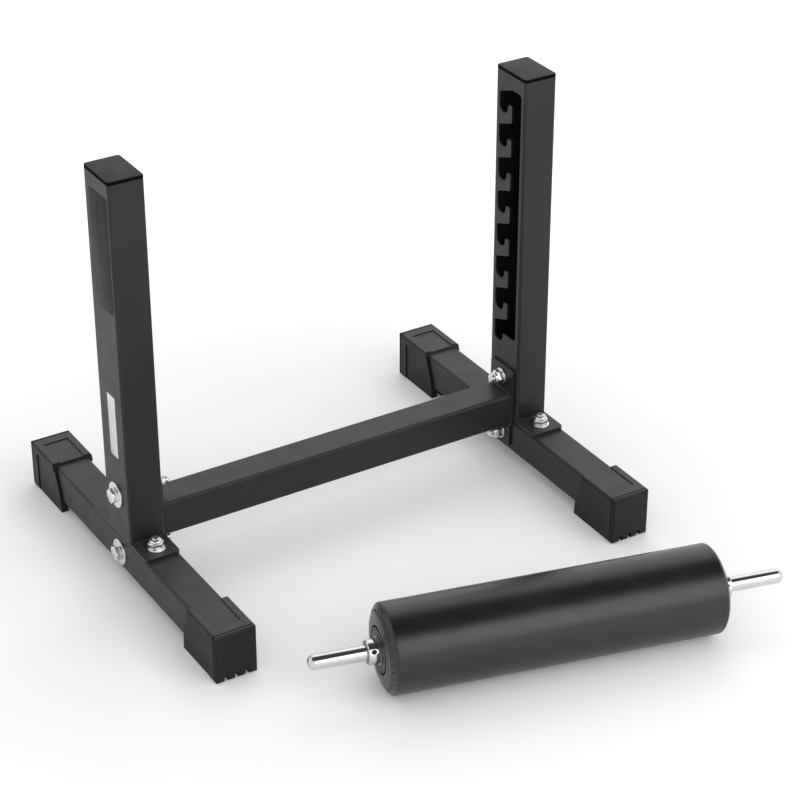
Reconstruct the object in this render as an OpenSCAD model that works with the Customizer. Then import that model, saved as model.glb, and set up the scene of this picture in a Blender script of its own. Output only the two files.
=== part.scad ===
// Split squat stand: two slotted uprights on a bolted H-shaped base, with a padded roller that hangs
// on any pair of pockets. The roller lies on the floor in front of the stand.
// X runs along the crossbeam, Y to the back, Z up. The origin is on the floor, in the middle of the
// box around the stand and the roller.

/* [Stand] */
// Clear gap between the two uprights
inner_gap = 560; // [500:10:800]
// Width of the uprights and the floor tubes, along the crossbeam
tube_w = 50; // [46:1:60]
// Middle of the stand, right of the origin
stand_x = -14; // [-60:1:60]
// Middle of the stand, behind the origin
stand_y = 139; // [60:1:220]

/* [Uprights] */
// Depth of an upright's tube, front to back
upright_d = 70; // [64:1:84]
// Wall of an upright's tube
upright_wall = 3; // [2:0.5:4]
// Outer corner radius of an upright's tube
upright_r = 4; // [3:0.5:6]
// Height of the lowest pocket's floor above the upright's foot
first_pocket_up = 110; // [100:1:180]
// Tube left above the top of the toothed slot
slot_top_margin = 20; // [14:1:60]

/* [Toothed slot] */
// Number of pockets in each upright
pocket_count = 8; // [2:1:9]
// Height from one pocket to the next
pocket_pitch = 50; // [46:1:70]
// Play of the axle in a pocket, on the diameter
pocket_play = 1; // [0.5:0.5:3]
// Play of the axle in the vertical channel
channel_play = 2; // [1:0.5:4]
// Width of a tooth's upright tip, front to back
tooth_w = 9.5; // [6:0.5:11]
// Height of a tooth's tip above its pocket's floor
tooth_rise = 15; // [11:0.5:18]
// Steel under the pocket's floor at the front of a tooth
tooth_neck = 9; // [7:0.5:12]
// Slope of a tooth's underside, falling to the back
tooth_slope = 20; // [10:1:25]
// Corner radius of a tooth's tip
tip_corner_r = 2.25; // [1:0.25:2.5]
// Corner radius under a tooth's front
nose_corner_r = 4.5; // [2:0.5:5]
// Corner radius between a tooth's underside and the back of the slot
root_corner_r = 2; // [1:0.5:4]
// Radius of the slot's front corners
slot_corner_r = 6; // [2:0.5:9]
// Height of the slot's top edge above the top pocket's floor
slot_headroom = 39; // [36:1:60]

/* [Caps] */
// Height of a cap above the upright's end
cap_h = 5; // [3:0.5:10]
// Radius round a cap's top edge
cap_edge_r = 1.5; // [0.5:0.5:2.5]
// Depth of a cap's plug inside the tube
cap_plug_depth = 20; // [12:1:40]
// Wall of a cap's plug
cap_plug_wall = 2; // [1:0.5:3]
// Height of each of the ribs round a plug
cap_rib_h = 1.5; // [1:0.5:3]
// Number of ribs round a plug
cap_rib_count = 3; // [1:1:4]
// Depth of a rib, which is the gap between plug and tube
cap_rib_depth = 1; // [0.5:0.25:2]
// Play between a rib and the tube
cap_play = 0.1; // [0.05:0.05:0.3]

/* [Base plates] */
// Thickness of the plate under an upright
base_plate_t = 5; // [3:0.5:10]
// From the upright's face to the axis of a base bolt
base_bolt_gap = 25; // [19:1:50]
// From the axis of a base bolt to the plate's end
base_plate_edge = 20; // [14:1:40]
// Corner radius of a base plate
base_plate_r = 5; // [2:0.5:10]
// Size of the weld beads
weld = 1.5; // [1:0.5:5]

/* [Floor tubes] */
// Length of a floor tube
floor_tube_l = 548; // [440:2:800]
// Height of a floor tube
floor_tube_h = 50; // [44:1:60]
// Wall of a floor tube
floor_tube_wall = 3; // [2:0.5:4]
// Outer corner radius of a floor tube
floor_tube_r = 4; // [3:0.5:6]

/* [Shoes] */
// Sole under the floor tube
shoe_sole = 16; // [13:1:24]
// Rubber beside and over the floor tube
shoe_side = 5; // [4:0.5:8]
// Rubber over the end of the floor tube
shoe_end = 6; // [4:0.5:12]
// Length of a shoe along the floor
shoe_l = 93; // [80:1:130]
// Length of a shoe along its top
shoe_top_l = 75; // [60:1:78]
// Height at which the shoe's mouth starts to slant back
shoe_slant_z = 26; // [12:1:40]
// Distance that the mouth leans back below the slant
shoe_lean = 2; // [0:0.5:4]
// Radius round the shoe's edges
shoe_edge_r = 4; // [1:0.5:5]
// From the closed end to the narrow groove round the shoe
shoe_rim_l = 4.5; // [4:0.5:8]
// Width of the narrow groove
shoe_rim_groove_w = 2; // [1:0.25:3]
// Depth of the narrow groove
shoe_rim_groove_depth = 1; // [0.5:0.25:1.5]
// Depth of the sunk panels in the top and sides
shoe_panel_depth = 1.5; // [0.5:0.25:2.5]
// Width of the sunk panel in the top
shoe_top_panel_w = 37; // [20:1:44]
// From the closed end to the sunk panels
shoe_panel_start = 21; // [14:1:40]
// Height of the sunk panels in the sides
shoe_side_panel_h = 60; // [30:1:64]
// Play of the shoe on the tube
shoe_play = 0.1; // [0.05:0.05:0.3]
// Number of grooves in the sole
groove_count = 3; // [1:1:3]
// Spacing of the grooves
groove_pitch = 15; // [10:0.5:17]
// Width of a groove
groove_w = 6.5; // [3:0.5:8]
// Height of a groove
groove_h = 9.5; // [5:0.5:12]

/* [Crossbeam] */
// Height of the crossbeam's tube
beam_h = 50; // [30:1:54]
// Depth of the crossbeam's tube, front to back
beam_d = 50; // [30:1:54]
// Wall of the crossbeam's tube
beam_wall = 3; // [2:0.5:4]
// Outer corner radius of the crossbeam's tube
beam_r = 4; // [3:0.5:6]
// Thickness of the plates at its ends
end_plate_t = 3.5; // [3:0.5:10]
// Width of the end plates, front to back
end_plate_w = 55.5; // [55.5:0.5:68]
// Width of the end plates below the crossbeam
end_tab_w = 45; // [40:1:55]
// From the crossbeam's underside down to where the end plates narrow
end_tab_down = 2; // [1:0.5:3]
// Corner radius of the end plates
end_plate_r = 6; // [1:0.5:8]
// Height of the upper bolt above the upright's foot
upper_bolt_up = 60; // [56:1:70]
// From the upper bolt to the plate's top edge
end_plate_top = 19; // [16:1:28]
// From the lower bolt to the plate's bottom edge
end_plate_bottom = 19; // [14:1:24]

/* [Fasteners] */
// Thread diameter of the bolts
bolt_d = 12; // [8:1:12]
// Play of a bolt in its holes
bolt_play = 1; // [0.5:0.25:1.5]
// Hexagon of heads and nuts, across the flats
hex_af = 19; // [17:1:19]
// Height of a bolt's head
head_h = 7.5; // [5:0.5:8]
// Height of a lock nut, with its collar
nut_h = 12; // [9:0.5:14]
// Height of the round collar on a lock nut
nut_collar_h = 3.5; // [2:0.5:4]
// Step from a lock nut's flats in to its collar
nut_collar_step = 1; // [0.5:0.25:2]
// Chamfer at a bolt's tip
bolt_tip_chamfer = 1; // [0.5:0.25:2]
// Play between nut and thread
thread_play = 0.1; // [0.05:0.05:0.2]
// Outer diameter of the plain washers
washer_d = 24; // [22:1:28]
// Thickness of the plain washers
washer_t = 2.5; // [1.5:0.5:3]
// Outer diameter of the wide washers on the outer faces
wide_washer_d = 36; // [28:1:40]
// Thickness of the wide washers
wide_washer_t = 3; // [2:0.5:4]
// Thread beyond the nuts of the crossbeam bolts
beam_bolt_proud = 5.5; // [1:0.5:12]
// Thread beyond the nuts of the base bolts
base_bolt_proud = 2.5; // [1:0.5:8]

/* [Roller] */
// Diameter of the axle
axle_d = 20; // [16:1:22]
// Radius round the axle's tips
axle_tip_r = 8; // [1:0.5:9]
// From an axle tip to the upright's far wall when the roller hangs
axle_end_play = 7; // [3:1:20]
// Diameter of the foam
foam_d = 120; // [90:5:160]
// From a shaft collar to the upright when the roller hangs
roller_side_gap = 34; // [10:1:60]
// Length of the rounded shoulder at each end of the foam
shoulder_l = 11; // [4:1:20]
// Diameter of the flat end of the foam
foam_end_d = 70; // [66:1:84]
// Outer diameter of the core tube
core_d = 50; // [40:1:54]
// Wall of the core tube
core_wall = 2; // [1.5:0.5:4]
// Diameter of the hub's flange
hub_flange_d = 62; // [58:1:64]
// Thickness of the hub's flange
hub_flange_t = 3; // [2:0.5:6]
// Open gap between the flange and the foam round it
hub_foam_gap = 1.5; // [0.5:0.25:2]
// Distance that the hub stands out of the foam
hub_proud = 0.4; // [0:0.1:2]
// Depth of the hub inside the core tube
hub_depth = 25; // [15:1:50]
// Wall of the hub's bearing sleeve
hub_sleeve_wall = 4; // [3:0.5:5]
// Wall of the hub's rim
hub_rim_wall = 2; // [1.5:0.5:3]
// Number of webs between a hub's sleeve and its rim
hub_web_count = 6; // [3:1:8]
// Thickness of a hub's webs
hub_web_t = 3; // [2:0.5:4]
// Play of the axle in the hubs, on the diameter
hub_play = 0.1; // [0.06:0.02:0.2]
// Play between the parts of the roller
seat_play = 0.1; // [0.05:0.05:0.3]
// Outer diameter of a shaft collar
collar_d = 32; // [30:1:40]
// Width of a shaft collar
collar_w = 17; // [10:1:20]
// Chamfer on the collars' edges
collar_chamfer = 1; // [0.5:0.25:2]
// Gap between collar and hub, so that the roller turns freely
side_play = 0.3; // [0.3:0.1:1]
// Diameter of the set screws
set_screw_d = 6; // [4:1:8]
// Hexagon socket of a set screw, across the flats
set_screw_af = 3; // [2:0.5:4]
// Depth of a set screw's head below the collar's surface
set_screw_sunk = 2; // [0:0.25:2.5]
// Share of a set screw's length that its socket takes
set_screw_socket_share = 0.6; // [0.3:0.1:0.7]
// Turn of the set screws from the top towards the front
set_screw_turn = 58; // [0:2:180]

/* [Roller on the floor] */
// Floor left between the front shoes and the roller
roller_clear = 57; // [20:1:200]
// Middle of the roller, right of the stand's middle
roller_right = 56.7; // [-100:0.1:100]
// Turn of the roller out of line with the crossbeam, its right end to the front
roller_yaw = 13.84; // [0:0.01:30]

/* [Hidden] */

// Smoothness of round faces, of the foam, and of the caps' edges
round_fn = 48;
foam_fn = 96;
edge_fn = 24;
// Overlap that takes a cut clear of the face it starts from
past = 1;
// Overlap of a corner piece beyond the edges that it rounds
corner_past = 0.2;
// Smallest corner radius inside a tube
inner_bend_r = 1;
// Angle of the chamfer on heads and nuts
hex_chamfer_angle = 30;

// Heights above the floor
tube_z = shoe_sole;
tube_top_z = tube_z + floor_tube_h;
foot_z = tube_top_z + base_plate_t;
lower_bolt_z = tube_z + floor_tube_h / 2;
upper_bolt_z = foot_z + upper_bolt_up;
beam_z = (lower_bolt_z + upper_bolt_z) / 2;
first_pocket_z = foot_z + first_pocket_up;
top_pocket_z = first_pocket_z + (pocket_count - 1) * pocket_pitch;
slot_top_z = top_pocket_z + slot_headroom;
upright_top_z = slot_top_z + slot_top_margin;

// Places along the crossbeam, on the right side; the left side mirrors it
inner_x = inner_gap / 2;
outer_x = inner_x + tube_w;
tube_x = inner_x + tube_w / 2;

// Base bolts lie in front of and behind the upright
base_bolt_y = upright_d / 2 + base_bolt_gap;
base_plate_l = 2 * (base_bolt_y + base_plate_edge);

// The slot holds the channel, a tooth and a pocket side by side, and is centred in the upright
pocket_d = axle_d + pocket_play;
channel_w = axle_d + channel_play;
slot_w = channel_w + tooth_w + pocket_d;
slot_front = -slot_w / 2;
slot_back = slot_w / 2;
tooth_front = slot_front + channel_w;
tooth_back = tooth_front + tooth_w;
channel_floor_z = first_pocket_z + tooth_rise;

// Shoes
shoe_w = tube_w + 2 * shoe_side;
shoe_top_z = tube_top_z + shoe_side;
stand_front = floor_tube_l / 2 + shoe_end;

// Bolts
hole_d = bolt_d + bolt_play;
beam_bolt_l = wide_washer_t + tube_w + end_plate_t + washer_t + nut_h + beam_bolt_proud;
base_bolt_l = 2 * washer_t + floor_tube_h + base_plate_t + nut_h + base_bolt_proud;

// Roller, measured along its axle from the middle
axle_l = inner_gap + 2 * (tube_w - upright_wall - axle_end_play);
foam_l = inner_gap - 2 * (roller_side_gap + collar_w + side_play + hub_proud);
hub_face = foam_l / 2 + hub_proud;
collar_face = hub_face + side_play;
core_l = 2 * (hub_face - hub_flange_t);
foam_r = foam_d / 2;
shoulder_straight = foam_l / 2 - shoulder_l;
shoulder_rise = (foam_d - foam_end_d) / 2;
shoulder_r = (pow(shoulder_rise, 2) + pow(shoulder_l, 2)) / (2 * shoulder_l);
roller_reach = shoulder_straight * sin(roller_yaw) + foam_r * cos(roller_yaw);

tube_black = [0.17, 0.17, 0.175];
plastic_black = [0.05, 0.05, 0.05];
rubber_black = [0.11, 0.11, 0.11];
foam_black = [0.13, 0.13, 0.13];
zinc = [0.72, 0.73, 0.75];
steel = [0.85, 0.85, 0.86];

// Corner radius of a hexagon, from its size across the flats
function hex_corner_r(af) = af / sqrt(3);

// Height of the floor of pocket k, counted from 0 at the bottom
function pocket_z(k) = first_pocket_z + k * pocket_pitch;

// Drop of a tooth's underside at a distance behind the tooth's front
function under_drop(y) = (y - tooth_front) * tan(tooth_slope);

// Sharp piece between a corner's two edges, which run off at angles a and b, and the arc that rounds it
module corner_piece(corner, a, b, r) {
    half = (b - a) / 2;
    middle = a + half;
    centre = corner + r / sin(half) * [cos(middle), sin(middle)];
    grow = 1 + corner_past / r;
    tangent_a = corner + r / tan(half) * [cos(a), sin(a)];
    tangent_b = corner + r / tan(half) * [cos(b), sin(b)];
    difference() {
        polygon([
            centre,
            centre + grow * (tangent_a - centre),
            centre + grow * (corner - centre),
            centre + grow * (tangent_b - centre)
        ]);
        translate(centre) circle(r, $fn = round_fn);
    }
}

module rounded_rect(w, d, r) {
    difference() {
        square([w, d], center = true);
        for (flip_x = [0, 1], flip_y = [0, 1])
            mirror([flip_x, 0]) mirror([0, flip_y]) corner_piece([w / 2, d / 2], 180, 270, r);
    }
}

module tube_section(w, d, wall, r) {
    difference() {
        rounded_rect(w, d, r);
        rounded_rect(w - 2 * wall, d - 2 * wall, max(r - wall, inner_bend_r));
    }
}

// Draws its children in the stand's place, on the right side, or mirrored on the left
module stand(left = false) {
    translate([stand_x, stand_y, 0]) mirror([left ? 1 : 0, 0, 0]) children();
}

// Points its children's Z along the crossbeam, outwards
module across(x, y, z) {
    translate([x, y, z]) rotate([0, 90, 0]) children();
}

// Opening of one pocket, with the way in over its tooth. rise_to is the height above the pocket's
// floor that the opening reaches at the tooth's front
module pocket_space(k, rise_to) {
    z = pocket_z(k);
    tip_z = z + tooth_rise;
    back_top_z = z + rise_to - under_drop(slot_back);
    translate([slot_back - pocket_d / 2, z + pocket_d / 2]) circle(d = pocket_d, $fn = round_fn);
    polygon([
        [tooth_front - past, tip_z],
        [tooth_back, tip_z],
        [tooth_back, z + pocket_d / 2],
        [slot_back, z + pocket_d / 2],
        [slot_back, back_top_z],
        [tooth_front, z + rise_to],
        [tooth_front - past, z + rise_to]
    ]);
}

// Outline of the toothed slot, seen from the right: Y runs to the back and up is up
module slot_outline() {
    tooth_rise_to = pocket_pitch - tooth_neck;
    back_angle = 180 - tooth_slope;
    difference() {
        union() {
            translate([slot_front, channel_floor_z]) square([channel_w, slot_top_z - channel_floor_z]);
            for (k = [0:pocket_count - 1]) {
                tip_z = pocket_z(k) + tooth_rise;
                pocket_space(k, k < pocket_count - 1 ? tooth_rise_to : slot_headroom);
                corner_piece([tooth_back, tip_z], 180, 270, tip_corner_r);
                if (k > 0) {
                    corner_piece([tooth_front, tip_z], -90, 0, tip_corner_r);
                    corner_piece([tooth_front, pocket_z(k) - tooth_neck], -tooth_slope, 90, nose_corner_r);
                }
            }
        }
        corner_piece([slot_front, slot_top_z], -90, 0, slot_corner_r);
        corner_piece([slot_front, channel_floor_z], 0, 90, slot_corner_r);
        for (k = [0:pocket_count - 1]) {
            rise_to = k < pocket_count - 1 ? tooth_rise_to : slot_headroom;
            back_top_z = pocket_z(k) + rise_to - under_drop(slot_back);
            corner_piece([slot_back, back_top_z], back_angle, 270, root_corner_r);
        }
    }
}

module upright() {
    color(tube_black) difference() {
        translate([tube_x, 0, foot_z]) linear_extrude(upright_top_z - foot_z)
            tube_section(tube_w, upright_d, upright_wall, upright_r);
        across(inner_x - past, 0, 0) rotate([0, 0, 90]) linear_extrude(upright_wall + 2 * past)
            slot_outline();
        across(inner_x - past, 0, upper_bolt_z)
            cylinder(d = hole_d, h = tube_w + 2 * past, $fn = round_fn);
    }
}

// Plug with ribs that grip the tube, under a flat top with rounded edges
module cap() {
    bore_w = tube_w - 2 * upright_wall;
    bore_d = upright_d - 2 * upright_wall;
    plug_w = bore_w - 2 * cap_rib_depth;
    plug_d = bore_d - 2 * cap_rib_depth;
    rib_pitch = (cap_plug_depth - cap_rib_h) / cap_rib_count;
    color(plastic_black) translate([tube_x, 0, upright_top_z]) {
        hull() for (sx = [-1, 1], sy = [-1, 1])
            translate([sx * (tube_w / 2 - upright_r), sy * (upright_d / 2 - upright_r), 0]) {
                cylinder(r = upright_r, h = cap_h - cap_edge_r, $fn = edge_fn);
                translate([0, 0, cap_h - cap_edge_r]) rotate_extrude($fn = edge_fn) difference() {
                    square([upright_r, cap_edge_r]);
                    corner_piece([upright_r, cap_edge_r], 180, 270, cap_edge_r);
                }
            }
        translate([0, 0, -cap_plug_depth]) linear_extrude(cap_plug_depth + past)
            tube_section(plug_w, plug_d, cap_plug_wall, cap_plug_wall);
        for (i = [0:cap_rib_count - 1])
            translate([0, 0, i * rib_pitch - cap_plug_depth + cap_rib_h]) linear_extrude(cap_rib_h)
                difference() {
                    rounded_rect(bore_w - 2 * cap_play, bore_d - 2 * cap_play, cap_plug_wall);
                    square([plug_w - cap_plug_wall, plug_d - cap_plug_wall], center = true);
                }
    }
}

// Rounded bead along X, in the corner between a floor at Z 0 and a wall at Y 0
module weld_bead(l) {
    intersection() {
        translate([-l / 2, 0, 0]) rotate([0, 90, 0]) cylinder(r = weld, h = l, $fn = round_fn);
        translate([-l / 2, 0, 0]) cube([l, weld + past, weld + past]);
    }
}

// Bead round the foot of a tube that stands on Z 0
module weld_ring(w, d, r) {
    for (a = [0, 180]) rotate([0, 0, a]) {
        translate([0, d / 2, 0]) weld_bead(w - 2 * r);
        rotate([0, 0, 90]) translate([0, w / 2, 0]) weld_bead(d - 2 * r);
    }
    difference() {
        for (sx = [-1, 1], sy = [-1, 1]) translate([sx * (w / 2 - r), sy * (d / 2 - r), 0])
            rotate_extrude($fn = round_fn) translate([r, 0]) intersection() {
                circle(weld, $fn = round_fn);
                square(weld + past);
            }
        translate([0, 0, weld / 2]) {
            cube([w, d - 2 * r, weld + 2 * past], center = true);
            cube([w - 2 * r, d, weld + 2 * past], center = true);
        }
    }
}

module base_plate() {
    color(tube_black) {
        translate([tube_x, 0, tube_top_z]) linear_extrude(base_plate_t) difference() {
            rounded_rect(tube_w, base_plate_l, base_plate_r);
            for (sy = [-1, 1]) translate([0, sy * base_bolt_y]) circle(d = hole_d, $fn = round_fn);
        }
        for (a = [0, 180]) translate([tube_x, 0, foot_z]) rotate([0, 0, a]) translate([0, upright_d / 2, 0])
            weld_bead(tube_w - 2 * upright_r);
    }
}

module floor_tube() {
    color(tube_black) difference() {
        translate([tube_x, floor_tube_l / 2, lower_bolt_z]) rotate([90, 0, 0]) linear_extrude(floor_tube_l)
            tube_section(tube_w, floor_tube_h, floor_tube_wall, floor_tube_r);
        for (sy = [-1, 1]) translate([tube_x, sy * base_bolt_y, tube_z - past])
            cylinder(d = hole_d, h = floor_tube_h + 2 * past, $fn = round_fn);
        across(inner_x - past, 0, lower_bolt_z) cylinder(d = hole_d, h = tube_w + 2 * past, $fn = round_fn);
    }
}

// Solid form of a shoe, with its closed end at Y 0, facing -Y, and its mouth open to the back. It is
// what its outlines from the front, the side and above have in common
module shoe_form() {
    intersection() {
        translate([0, -past, shoe_top_z / 2]) rotate([-90, 0, 0]) linear_extrude(shoe_l + 2 * past)
            rounded_rect(shoe_w, shoe_top_z, shoe_edge_r);
        rotate([90, 0, 90]) linear_extrude(shoe_w + 2 * past, center = true) difference() {
            polygon([
                [0, -past],
                [shoe_l, -past],
                [shoe_l, 0],
                [shoe_l - shoe_lean, shoe_slant_z],
                [shoe_top_l, shoe_top_z],
                [shoe_top_l, shoe_top_z + past],
                [0, shoe_top_z + past]
            ]);
            corner_piece([0, 0], 0, 90, shoe_edge_r);
            corner_piece([0, shoe_top_z], -90, 0, shoe_edge_r);
        }
        translate([0, 0, -past]) linear_extrude(shoe_top_z + 2 * past) difference() {
            translate([-shoe_w / 2 - past, -past]) square([shoe_w + 2 * past, shoe_l + 2 * past]);
            corner_piece([-shoe_w / 2, 0], 0, 90, shoe_edge_r);
            corner_piece([shoe_w / 2, 0], 90, 180, shoe_edge_r);
        }
    }
}

// Grooves along the sole, each with a round top
module sole_grooves() {
    first = -(groove_count - 1) / 2;
    arc_z = groove_h - groove_w / 2;
    for (i = [0:groove_count - 1]) translate([(first + i) * groove_pitch, -past, 0]) {
        translate([-groove_w / 2, 0, -past]) cube([groove_w, shoe_l + 2 * past, arc_z + past]);
        translate([0, 0, arc_z]) rotate([-90, 0, 0])
            cylinder(d = groove_w, h = shoe_l + 2 * past, $fn = round_fn);
    }
}

// Narrow groove across the top and down the sides, behind the closed end's rim
module rim_groove() {
    translate([0, shoe_rim_l + shoe_rim_groove_w, 0]) rotate([90, 0, 0]) linear_extrude(shoe_rim_groove_w)
        difference() {
            translate([-shoe_w / 2 - past, -past]) square([shoe_w + 2 * past, shoe_top_z + 2 * past]);
            translate([0, -shoe_rim_groove_depth - past])
                rounded_rect(shoe_w - 2 * shoe_rim_groove_depth, 2 * (shoe_top_z + past), shoe_edge_r);
        }
}

module shoe(back = false) {
    bore_w = tube_w + 2 * shoe_play;
    bore_h = floor_tube_h + 2 * shoe_play;
    panel_l = shoe_l - shoe_panel_start + past;
    color(rubber_black) translate([tube_x, 0, 0]) mirror([0, back ? 1 : 0, 0]) translate([0, -stand_front, 0])
        difference() {
            shoe_form();
            translate([0, shoe_l + shoe_end, lower_bolt_z]) rotate([90, 0, 0]) linear_extrude(shoe_l)
                rounded_rect(bore_w, bore_h, floor_tube_r + shoe_play);
            translate([-shoe_top_panel_w / 2, shoe_panel_start, shoe_top_z - shoe_panel_depth])
                cube([shoe_top_panel_w, panel_l, shoe_panel_depth + past]);
            for (sx = [-1, 1]) translate([sx * shoe_w / 2, shoe_panel_start, -past])
                translate([-shoe_panel_depth, 0, 0])
                    cube([2 * shoe_panel_depth, panel_l, shoe_side_panel_h + past]);
            rim_groove();
            sole_grooves();
        }
}

module crossbeam_tube() {
    l = inner_gap - 2 * end_plate_t;
    color(tube_black) across(-l / 2, 0, beam_z) linear_extrude(l)
        tube_section(beam_h, beam_d, beam_wall, beam_r);
}

module end_plate() {
    low_z = lower_bolt_z - end_plate_bottom;
    tab_z = beam_z - beam_h / 2 - end_tab_down;
    high_z = upper_bolt_z + end_plate_top;
    color(tube_black) {
        difference() {
            across(inner_x - end_plate_t, 0, 0) linear_extrude(end_plate_t) {
                translate([-(tab_z + high_z) / 2, 0])
                    rounded_rect(high_z - tab_z, end_plate_w, end_plate_r);
                translate([-(low_z + beam_z) / 2, 0])
                    rounded_rect(beam_z - low_z, end_tab_w, end_plate_r);
            }
            for (z = [lower_bolt_z, upper_bolt_z]) across(inner_x - end_plate_t - past, 0, z)
                cylinder(d = hole_d, h = end_plate_t + 2 * past, $fn = round_fn);
        }
        translate([inner_x - end_plate_t, 0, beam_z]) rotate([0, -90, 0]) weld_ring(beam_h, beam_d, beam_r);
    }
}

// Hexagon with chamfered corners on its far side
module hexagon(af, h) {
    corner_r = hex_corner_r(af);
    chamfer = corner_r - af / 2;
    intersection() {
        cylinder(r = corner_r, h = h, $fn = 6);
        rotate_extrude($fn = round_fn) polygon([
            [0, -past],
            [corner_r + past, -past],
            [corner_r + past, h - (chamfer + past) * tan(hex_chamfer_angle)],
            [af / 2, h],
            [0, h]
        ]);
    }
}

// Bolt with its head's bearing face at Z 0 and its thread along +Z
module bolt(l) {
    mirror([0, 0, 1]) hexagon(hex_af, head_h);
    rotate_extrude($fn = round_fn) polygon([
        [0, -past],
        [bolt_d / 2, -past],
        [bolt_d / 2, l - bolt_tip_chamfer],
        [bolt_d / 2 - bolt_tip_chamfer, l],
        [0, l]
    ]);
}

module washer(d, t) {
    difference() {
        cylinder(d = d, h = t, $fn = round_fn);
        translate([0, 0, -past]) cylinder(d = hole_d, h = t + 2 * past, $fn = round_fn);
    }
}

// Lock nut on Z 0, with its round collar up
module lock_nut() {
    collar_r = hex_af / 2 - nut_collar_step;
    difference() {
        union() {
            hexagon(hex_af, nut_h - nut_collar_h);
            translate([0, 0, nut_h - nut_collar_h - past]) rotate_extrude($fn = round_fn) difference() {
                square([collar_r, nut_collar_h + past]);
                corner_piece([collar_r, nut_collar_h + past], 180, 270, nut_collar_h / 2);
            }
        }
        translate([0, 0, -past]) cylinder(d = bolt_d + thread_play, h = nut_h + 2 * past, $fn = round_fn);
    }
}

// The two bolts through the crossbeam's end plate, from the outer face inwards
module at_beam_bolts(x) {
    for (z = [lower_bolt_z, upper_bolt_z]) translate([x, 0, z]) rotate([0, -90, 0]) children();
}

// The two bolts through the base plate, from below
module at_base_bolts(z) {
    for (sy = [-1, 1]) translate([tube_x, sy * base_bolt_y, z]) children();
}

module beam_bolts() {
    color(zinc) at_beam_bolts(outer_x + wide_washer_t) bolt(beam_bolt_l);
}

module wide_washers() {
    color(zinc) at_beam_bolts(outer_x + wide_washer_t) washer(wide_washer_d, wide_washer_t);
}

module beam_washers() {
    color(zinc) at_beam_bolts(inner_x - end_plate_t) washer(washer_d, washer_t);
}

module beam_nuts() {
    color(zinc) at_beam_bolts(inner_x - end_plate_t - washer_t) lock_nut();
}

module base_bolts() {
    color(zinc) at_base_bolts(tube_z - washer_t) bolt(base_bolt_l);
}

module sole_washers() {
    color(zinc) at_base_bolts(tube_z - washer_t) washer(washer_d, washer_t);
}

module base_washers() {
    color(zinc) at_base_bolts(foot_z) washer(washer_d, washer_t);
}

module base_nuts() {
    color(zinc) at_base_bolts(foot_z + washer_t) lock_nut();
}

// Lays its children, modelled along Z from the roller's middle, on the floor in front of the stand
module roller_place() {
    translate([stand_x + roller_right, stand_y - stand_front - roller_clear - roller_reach, foam_r])
        rotate([0, 0, -roller_yaw]) rotate([0, 90, 0]) children();
}

module axle() {
    end = axle_l / 2;
    color(steel) roller_place() rotate_extrude($fn = round_fn) difference() {
        translate([0, -end]) square([axle_d / 2, axle_l]);
        corner_piece([axle_d / 2, end], 180, 270, axle_tip_r);
        corner_piece([axle_d / 2, -end], 90, 180, axle_tip_r);
    }
}

module collar() {
    r = collar_d / 2;
    color(steel) translate([0, 0, collar_face]) difference() {
        rotate_extrude($fn = round_fn) polygon([
            [(axle_d + seat_play) / 2, 0],
            [r - collar_chamfer, 0],
            [r, collar_chamfer],
            [r, collar_w - collar_chamfer],
            [r - collar_chamfer, collar_w],
            [(axle_d + seat_play) / 2, collar_w]
        ]);
        set_screw_line() cylinder(d = set_screw_d + seat_play, h = r, $fn = round_fn);
    }
}

// Points +Z from the axle's axis out through the middle of a collar at Z 0
module set_screw_line() {
    translate([0, 0, collar_w / 2]) rotate([0, 0, set_screw_turn]) rotate([0, -90, 0]) children();
}

module set_screw() {
    top = collar_d / 2 - set_screw_sunk;
    l = top - axle_d / 2;
    socket = l * set_screw_socket_share;
    color(zinc) translate([0, 0, collar_face]) set_screw_line() difference() {
        translate([0, 0, axle_d / 2]) cylinder(d = set_screw_d, h = l, $fn = round_fn);
        translate([0, 0, top - socket]) cylinder(r = hex_corner_r(set_screw_af), h = socket + past, $fn = 6);
    }
}

module core_tube() {
    color(zinc) roller_place() difference() {
        cylinder(d = core_d, h = core_l, center = true, $fn = round_fn);
        cylinder(d = core_d - 2 * core_wall, h = core_l + 2 * past, center = true, $fn = round_fn);
    }
}

// Hub at the roller's +Z end: a flange, and a plug whose rim and bearing sleeve are joined by webs
module hub() {
    plug_d = core_d - 2 * core_wall - seat_play;
    sleeve_d = axle_d + hub_play + 2 * hub_sleeve_wall;
    inner_face = hub_face - hub_flange_t;
    color(plastic_black) difference() {
        union() {
            translate([0, 0, inner_face]) cylinder(d = hub_flange_d, h = hub_flange_t, $fn = round_fn);
            translate([0, 0, inner_face - hub_depth]) {
                cylinder(d = sleeve_d, h = hub_depth + past, $fn = round_fn);
                difference() {
                    cylinder(d = plug_d, h = hub_depth + past, $fn = round_fn);
                    translate([0, 0, -past])
                        cylinder(d = plug_d - 2 * hub_rim_wall, h = hub_depth + past, $fn = round_fn);
                }
                for (i = [0:hub_web_count - 1]) rotate([0, 0, i * 360 / hub_web_count])
                    translate([sleeve_d / 2 - past, -hub_web_t / 2, 0])
                        cube([(plug_d - hub_rim_wall - sleeve_d) / 2 + past, hub_web_t, hub_depth]);
            }
        }
        translate([0, 0, inner_face - hub_depth - past])
            cylinder(d = axle_d + hub_play, h = hub_depth + hub_flange_t + 2 * past, $fn = round_fn);
    }
}

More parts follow.
